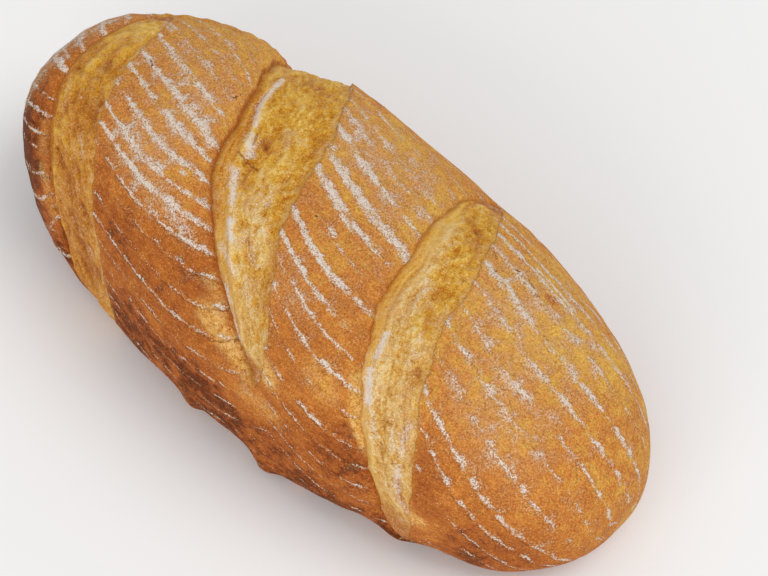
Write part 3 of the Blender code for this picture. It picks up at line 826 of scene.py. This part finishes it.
def torn_sheet(slash, looks):
    """The torn dough of one slash, as a closed sheet."""
    run = np.linspace(-slash["near"], slash["far"], RUN_STEPS) + slash["widest"]
    girth = HALF_GIRTH * oval(slash["middle"], PLAN_POWERS)
    open_run = run[slash_lips(slash, math.pi * (0.5 - run / girth))[2] > LEAST_OPENING]
    s = np.linspace(open_run[0], open_run[-1], TORN_ROWS)[:, None] + np.zeros(TORN_COLUMNS)
    angle = math.pi * (0.5 - s / girth)
    middle, half, opening = slash_lips(slash, angle)
    across = np.linspace(-1, 1, TORN_COLUMNS)[None, :] * (1 + TUCK / half)
    x = middle + half * across
    plain = plain_skin(x, angle)
    arc = arc_from_crown(x, angle)
    risen = np.clip((across + 1) / 2, 0, 1)
    from_lip = np.clip((1 - np.abs(across)) * half / EDGE_REACH, 0, 1)
    inner = 0.5 - 0.5 * np.cos(math.pi * from_lip)

    just_inside = middle + half * np.clip(across, -1 + LEAST_LENGTH, 1 - LEAST_LENGTH)
    height = np.zeros(x.shape)
    for other in SLASHES:
        height += slash_relief(other, just_inside if other is slash else x, angle)[0]
    height += sum(swell * noise_at(plain, size) for swell, size in LUMPS)
    height *= np.clip(plain[..., 2] / BELLY_HEIGHT, 0, 1)

    strip_edge = at_distances(looks["strip"], s)
    past_strip = (risen - strip_edge) * 2 * half
    on_strip = 1 / (1 + np.exp(past_strip / STRIP_EDGE))
    fibre = np.stack([(x - middle) * looks["fibrous"], s * CRAG_STRETCH, 0 * x], axis=-1)
    crag = np.zeros(x.shape)
    for order, (swell, size, seed) in enumerate(CRAGS):
        rough = noise_at(fibre, size, seed * (1 + 7 * order) + CRAG_SEED * slash["middle"])
        crag += swell * (FOLD_LEVEL - FOLD_HEIGHT * np.abs(rough) if order == FOLD_ORDER else rough)
    crag *= looks["rough"] * (LIP_CRAGS + (1 - LIP_CRAGS) * inner) * (1 - STRIP_SMOOTHNESS * on_strip)
    mean, swing, length = RIDGE_LUMPS
    lumps = noise_at(np.stack([s, 0 * s, 0 * s], axis=-1), length, slash["middle"] * RIDGE_SEED)
    lumpy = np.clip(mean + swing * lumps, *RIDGE_LIMITS)
    crag += looks["ridge"] * lumpy * np.exp(-(past_strip / STRIP_RIDGE_REACH) ** 2) * inner
    crag -= STRIP_HOLLOW * np.sin(math.pi * np.clip(risen / strip_edge, 0, 1)) * on_strip
    shaded_crease = strokes(looks["creases"], x, arc)
    pit = strokes(looks["pits"], x, arc)
    crag -= CREASE_DEPTH * shaded_crease + PIT_DEPTH * pit
    crag = np.maximum(crag, -DEEPEST_CRAG)

    tucked = np.clip((np.abs(across) - 1) * half / TUCK, 0, 1)
    top = skin_place(x, angle, height + crag - TUCK_SINK * tucked - SHEET_GAP)
    low = skin_place(x, angle, height - TORN_THICKNESS)
    low[..., 2] = np.minimum(low[..., 2], top[..., 2])

    grid = np.arange(TORN_ROWS * TORN_COLUMNS).reshape(TORN_ROWS, TORN_COLUMNS)
    under = grid + grid.size
    faces = []
    for corners in ((grid[:-1, :-1], grid[:-1, 1:], grid[1:, 1:], grid[1:, :-1]),
                    (under[1:, :-1], under[1:, 1:], under[:-1, 1:], under[:-1, :-1]),
                    (grid[:-1, 0], grid[1:, 0], under[1:, 0], under[:-1, 0]),
                    (grid[1:, -1], grid[:-1, -1], under[:-1, -1], under[1:, -1]),
                    (grid[0, 1:], grid[0, :-1], under[0, :-1], under[0, 1:]),
                    (grid[-1, :-1], grid[-1, 1:], under[-1, 1:], under[-1, :-1])):
        faces += np.stack(corners, axis=-1).reshape(-1, 4).tolist()

    fields = {
        "torn": (risen, s, x - middle),
        "wear": (at_distances(looks["cream"], s) + strokes(looks["pale"], x, arc),
                 at_distances(looks["brown"], s) + strokes(looks["browned"], x, arc),
                 strokes(looks["flour"], x, arc)),
        # The crags' height and the creases and pits go to the finish for painted shade and highlight
        "relief": (crag / MILLIMETRE, on_strip, np.maximum(shaded_crease, pit)),
        "tip": (np.clip(1 - opening / looks["tip"], 0, 1),),
    }
    both_sides = {label: [np.tile(field.ravel(), 2) for field in group] for label, group in fields.items()}
    return mesh_piece(looks["name"], np.concatenate([top, low]).reshape(-1, 3), faces, both_sides)


def torn_finish():
    """Torn dough: golden and satin, with painted shade that makes it orange in its wrinkles, creases
    and pits and painted highlight that makes it pale on its crests, streaked along the smooth strip,
    creamy lower down, and floury on the ridge beside the strip."""
    material, start = new_finish("torn dough")
    place = start.node("ShaderNodeTexCoord", output="Object")
    torn = start.field("torn")
    wear = start.field("wear")
    relief = start.field("relief")
    tip = start.field("tip", "Fac")
    fibres = torn.scaled((0.0, 0.16, 1.0))
    streaks = fibres.grain(420, 3.0, 0.6)
    broad = fibres.grain(140, 2.0)
    coarse = place.grain(85, 3.0)
    mottle = place.grain(260, 4.0, 0.6)
    wrinkle = place.scaled((1.0, 0.8, 1.0)).grain(620, 3.0, 0.65)
    small = place.grain(1400, 2.0, 0.6)
    grit = place.grits(2100)
    strip = relief.axis(1)

    # Painted shade and highlight: darker orange where the crags lie low, paler where they stand high, over
    # tone that differs at random
    lift = relief.axis(0) * 0.30 + mottle * 0.42 + wrinkle * 0.60 + small * 0.50 + grit * 0.30
    lift = lift + streaks * 0.12 + 0.56
    gold = lift.ramp((0.0, "A45C10"), (0.25, "BE7C1A"), (0.5, "CF982E"), (0.75, "DBAE48"), (1.0, "E8C878"))
    cream = lift.ramp((0.0, "A66E28"), (0.3, "C4924C"), (0.6, "D6AE6C"), (1.0, "E6D0A4"))
    creamy = (wear.axis(0) + coarse * 0.6 + mottle * 0.6).between(0.1, 0.95)
    brown = (wear.axis(1) + coarse * 0.9 + mottle + wrinkle * 0.5).between(0.15, 0.95)
    browned = lift.ramp((0.1, "8E480C"), (0.5, "AE681C"), (0.9, "C88830"))
    satin = (streaks * 0.9 + broad * 0.8 + wrinkle * 0.3 + small * 0.3 + grit * 0.2 + 0.5).ramp(
        (0.1, "B05E14"), (0.42, "CE9030"), (0.9, "E2B85A"))
    satin = (creamy * 0.5).blend(satin, "D9B778")
    rim = (0.09 - torn.axis(0) + broad * 0.06 + streaks * 0.04).between(0.0, 0.09)
    like_crust = (mottle * 0.5 + wrinkle * 0.5 + small * 0.4 + grit * 0.2 + 0.5).ramp(
        (0.0, "A8662A"), (0.45, "C68E42"), (1.0, "D8B274"))
    ending = tip.between(0.30, 0.55)
    toasted = (mottle * 0.5 + wrinkle * 0.5 + small * 0.5 + grit * 0.4 + 0.5).ramp(
        (0.0, "8E4A18"), (0.5, "A8602A"), (1.0, "C4904E"))
    like_crust = (ending * 0.9).blend(like_crust, toasted)
    merging = start.math("MAXIMUM", ending, (torn.axis(0) - 0.86 + mottle * 0.10).between(0.0, 0.14) * 0.6)
    merging = (merging + mottle * 0.5 - 0.03).between(0.1, 0.75)
    white = (wear.axis(2) * 0.95 + mottle * 0.55 + small * 0.6 + grit * 0.5).between(0.12, 1.05)
    # Painted shade in the creases and pits
    pit_and_crease_shade = relief.axis(2).between(0.25, 0.9)
    colour = gold.coated(
        (creamy * 0.85, cream), (brown * 0.88, browned), (strip * (1 - brown * 0.8) * 0.85, satin),
        (rim * (1 - creamy * 0.8) * 0.7, "9C5212"), (merging * 0.95, like_crust), (white * 0.9, "DCD2C8"),
        (pit_and_crease_shade * 0.75, "85450F"))

    height = mottle * 0.0003 + wrinkle * 0.00035 + small * 0.00010 + streaks * 0.00012
    start.surface(colour, roughness=white * 0.3 + 0.55, specular=0.16, height=height)
    return material


torn_material = torn_finish()
sheets = []
for slash, looks in zip(SLASHES, TORN_LOOKS):
    sheet = torn_sheet(slash, looks)
    sheet.data.materials.append(torn_material)
    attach(sheet, "root")
    sheets.append(sheet)

# ---------------------------------------------------------------------------------------------
# Loose flour. Where the flour lies thickest on the ridges it has caked into small clots that stand
# on the crust. They are strewn over the crust by its flour, with a fixed seed.

CLOTS_PER_SQUARE_METRE = 420000
SMALLEST_CLOT = 0.00010
LARGEST_CLOT = 0.00027
CLOT_SEED = 7


def clot_tree():
    """A node tree that strews clots over a skin, as thickly as its loose flour."""
    tree = bpy.data.node_groups.new("flour clots", "GeometryNodeTree")
    for name, kind in (("Skin", "NodeSocketGeometry"), ("Clots per square metre", "NodeSocketFloat"),
                       ("Smallest", "NodeSocketFloat"), ("Largest", "NodeSocketFloat"),
                       ("Seed", "NodeSocketInt"), ("Finish", "NodeSocketMaterial")):
        tree.interface.new_socket(name, in_out="INPUT", socket_type=kind)
    tree.interface.new_socket("Clots", in_out="OUTPUT", socket_type="NodeSocketGeometry")
    start = Link(tree)
    given = start.node("NodeGroupInput")
    sizes = [Link(tree, socket) for socket in given.socket.node.outputs]
    skin, density, smallest, largest, seed, finish = sizes[:6]
    flour = start.node("GeometryNodeInputNamedAttribute", {"data_type": "FLOAT_VECTOR"}, {"Name": "flour"})
    strewn = start.node("GeometryNodeDistributePointsOnFaces", {"distribute_method": "RANDOM"},
                        {"Mesh": skin, "Density": flour.axis(2) * density, "Seed": seed})
    clot = start.node("GeometryNodeMeshIcoSphere", None, {"Radius": 1.0, "Subdivisions": 1})
    size = start.node("FunctionNodeRandomValue", {"data_type": "FLOAT"},
                      {2: smallest, 3: largest, "Seed": seed}, 1)
    turn = start.node("FunctionNodeRandomValue", {"data_type": "FLOAT_VECTOR"},
                      {1: (math.tau, math.tau, math.tau), "Seed": seed}, 0)
    placed = start.node("GeometryNodeInstanceOnPoints", None,
                        {"Points": strewn, "Instance": clot, "Rotation": turn, "Scale": size})
    real = start.node("GeometryNodeRealizeInstances", None, {"Geometry": placed})
    finished = start.node("GeometryNodeSetMaterial", None, {"Geometry": real, "Material": finish})
    start.node("NodeGroupOutput", None, {0: finished})
    return tree


def clot_finish():
    """Caked flour: matt, off-white, a little toasted here and there."""
    material, start = new_finish("caked flour")
    place = start.node("ShaderNodeTexCoord", output="Object")
    toast = (place.grain(900, 2.0) + place.grain(160, 2.0) * 0.6).between(-0.4, 0.4)
    start.surface(toast.blend("DCD3C8", "CDB08E"), roughness=0.9, specular=0.1)
    return material


strewer = crust.modifiers.new("flour clots", "NODES")
strewer.node_group = clot_tree()
clot_sizes = {"Clots per square metre": float(CLOTS_PER_SQUARE_METRE), "Smallest": SMALLEST_CLOT,
              "Largest": LARGEST_CLOT, "Seed": CLOT_SEED, "Finish": clot_finish()}
for socket in strewer.node_group.interface.items_tree:
    if socket.in_out == "INPUT" and socket.name in clot_sizes:
        strewer[socket.identifier] = clot_sizes[socket.name]
evaluated = crust.evaluated_get(bpy.context.evaluated_depsgraph_get())
clot_mesh = bpy.data.meshes.new_from_object(evaluated)
crust.modifiers.remove(strewer)
clot_mesh.name = "flour_clots"
clots = new_object("flour_clots", clot_mesh)
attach(clots, "root")

# ---------------------------------------------------------------------------------------------
# Floor, light and camera. A plain pale floor, soft light from above and from the side that shows,
# and a long lens that looks down on the loaf from its +X end.

FLOOR_REACH = 12.0
FLOOR_COLOUR = (0.90, 0.90, 0.90, 1.0)
CAMERA_AZIMUTH = math.radians(44.80)
CAMERA_ELEVATION = math.radians(54.73)
CAMERA_ROLL = math.radians(-1.73)
CAMERA_DISTANCE = 0.9962
CAMERA_AIM = Vector((0.0235, 0.0132, 0.0400))
FRAME_WIDTH_PIXELS = 768
FOCAL_PIXELS = 2370
SENSOR_WIDTH = 36.0
LAMP_AIM = Vector((0, 0, 0.05))
LAMP_DISTANCE = 4.0
SKY_STRENGTH = 0.62

corners = [(-FLOOR_REACH, -FLOOR_REACH, 0), (FLOOR_REACH, -FLOOR_REACH, 0),
           (FLOOR_REACH, FLOOR_REACH, 0), (-FLOOR_REACH, FLOOR_REACH, 0)]
floor = mesh_piece("floor", corners, [(0, 1, 2, 3)], {})
floor_material, floor_start = new_finish("pale floor")
floor_start.surface(FLOOR_COLOUR, roughness=0.8, specular=0.1)
floor.data.materials.append(floor_material)

lens = bpy.data.cameras.new("camera")
lens.sensor_width = SENSOR_WIDTH
lens.lens = FOCAL_PIXELS / FRAME_WIDTH_PIXELS * SENSOR_WIDTH
lens.clip_start = 0.01
camera = new_object("camera", lens)
facing = Matrix.Rotation(CAMERA_AZIMUTH, 4, "Z") @ Matrix.Rotation(QUARTER - CAMERA_ELEVATION, 4, "X")
facing = facing @ Matrix.Rotation(CAMERA_ROLL, 4, "Z")
camera.matrix_world = (Matrix.Translation(CAMERA_AIM) @ facing
                       @ Matrix.Translation((0.0, 0.0, CAMERA_DISTANCE)))
bpy.context.scene.camera = camera


def softbox(name, direction, size, power):
    """A square lamp that shines on the loaf from a direction."""
    lamp = bpy.data.lights.new(name, "AREA")
    lamp.shape = "SQUARE"
    lamp.size = size
    lamp.energy = power
    holder = new_object(name, lamp)
    holder.location = LAMP_AIM + direction.normalized() * LAMP_DISTANCE
    holder.rotation_euler = direction.to_track_quat("Z", "Y").to_euler()
    holder.visible_camera = False


softbox("key", Vector((0.55, 0.35, 1.0)), size=2.5, power=56.3)
softbox("fill", Vector((0.3, -1.0, 0.30)), size=3.5, power=81.3)

world = bpy.data.worlds.new("studio")
bpy.context.scene.world = world
world.use_nodes = True
world.node_tree.nodes["Background"].inputs["Color"].default_value = (1.0, 1.0, 1.0, 1.0)
world.node_tree.nodes["Background"].inputs["Strength"].default_value = SKY_STRENGTH
bpy.context.scene.view_settings.view_transform = "Standard"

# ---------------------------------------------------------------------------------------------
# The crust and the torn dough stand for the imported solid, which is hidden.

for piece in [crust] + sheets:
    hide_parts("loaf")
